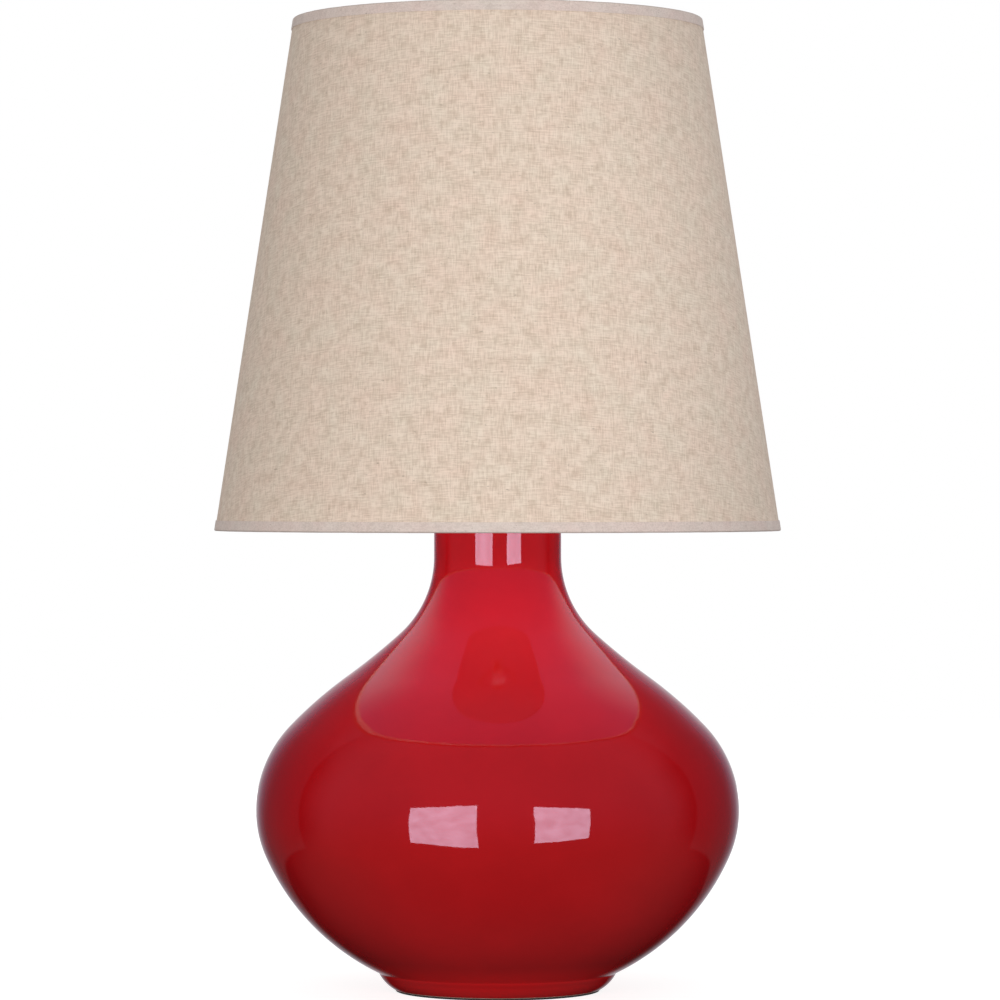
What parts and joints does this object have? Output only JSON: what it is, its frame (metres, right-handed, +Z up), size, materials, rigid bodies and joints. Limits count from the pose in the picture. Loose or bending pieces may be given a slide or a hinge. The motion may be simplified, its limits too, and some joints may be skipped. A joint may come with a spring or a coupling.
{
  "type": "table lamp",
  "caption": "Table lamp with a round-bellied glazed body, a tall neck, and a tapered linen shade on a harp.",
  "frame": {"origin": "centre of the underside of the felt ring that the lamp stands on", "axes": "+Z up through the pipe and the finial, -Y towards the front, where the switch knob points; the harp lies in the XZ plane and the cord outlet is at +Y"},
  "size_m": [0.4587, 0.4586, 0.7857],
  "materials": {
    "ruby_glaze": "deep red gloss glaze",
    "base_felt": "dark felt",
    "black_plastic": "moulded",
    "gasket_rubber": "plain",
    "zinc_steel": "zinc plated",
    "plug_wood": "plain turned",
    "brass_plate": "polished plate",
    "contact_brass": "plain",
    "phenolic": "moulded",
    "fibre_paper": "plain",
    "frosted_glass": "frosted",
    "clear_glass": "clear",
    "bulb_metal": "drawn",
    "black_glass": "opaque",
    "filament_wire": "fine wire",
    "white_wire": "coated",
    "liner_paper": "matt white",
    "linen": "oatmeal weave",
    "trim_linen": "rosy grey tape"
  },
  "bodies": {
    "base": {"ceramic_body": "ruby_glaze", "base_felt": "base_felt", "cord_bushing": "black_plastic", "base_gasket": "gasket_rubber", "base_washer": "zinc_steel", "lock_washer": "zinc_steel", "base_nut": "zinc_steel", "lamp_pipe": "zinc_steel", "pipe_end_bushing": "black_plastic", "neck_plug": "plug_wood", "vase_cap": "brass_plate", "neck_spacer": "brass_plate", "harp_saddle": "brass_plate", "saddle_nut": "zinc_steel", "harp_bow": "brass_plate", "socket_cap": "brass_plate", "cap_setscrew": "zinc_steel", "socket_block": "phenolic", "terminal_screws": "contact_brass", "screw_shell": "contact_brass", "centre_contact": "contact_brass", "socket_insulator": "fibre_paper", "socket_shell": "brass_plate"},
    "switch": {"switch_shaft": "contact_brass", "switch_knob": "phenolic"},
    "bulb": {"bulb_glass": "frosted_glass", "bulb_base": "bulb_metal", "bulb_insulator": "black_glass", "bulb_tip": "zinc_steel", "bulb_stem": "clear_glass", "bulb_filament": "filament_wire"},
    "ferrule_left": {"harp_ferrule_left": "brass_plate"},
    "ferrule_right": {"harp_ferrule_right": "brass_plate"},
    "shade": {"harp_stud": "brass_plate", "shade_spider": "white_wire", "shade_top_ring": "white_wire", "shade_bottom_ring": "white_wire", "shade_liner": "liner_paper", "shade_fabric": "linen", "shade_top_trim": "trim_linen", "shade_bottom_trim": "trim_linen"},
    "finial": {"finial": "brass_plate"}
  },
  "joints": [
    {"name": "switch_turn", "type": "hinge", "parent": "base", "child": "switch", "pos_m": [0, 0, 0.4857], "axis": [0, -1, 0], "continuous": true},
    {"name": "bulb_turn", "type": "hinge", "parent": "base", "child": "bulb", "pos_m": [0, 0, 0.5225], "axis": [0, 0, 1], "continuous": true},
    {"name": "ferrule_left_lift", "type": "slide", "parent": "base", "child": "ferrule_left", "axis": [0, 0, 1], "range_m": [0, 0.014]},
    {"name": "ferrule_right_lift", "type": "slide", "parent": "base", "child": "ferrule_right", "axis": [0, 0, 1], "range_m": [0, 0.014]},
    {"name": "shade_turn", "type": "hinge", "parent": "base", "child": "shade", "pos_m": [0, 0, 0.7594], "axis": [0, 0, 1], "continuous": true},
    {"name": "finial_turn", "type": "hinge", "parent": "shade", "child": "finial", "pos_m": [0, 0, 0.7629], "axis": [0, 0, 1], "continuous": true}
  ]
}
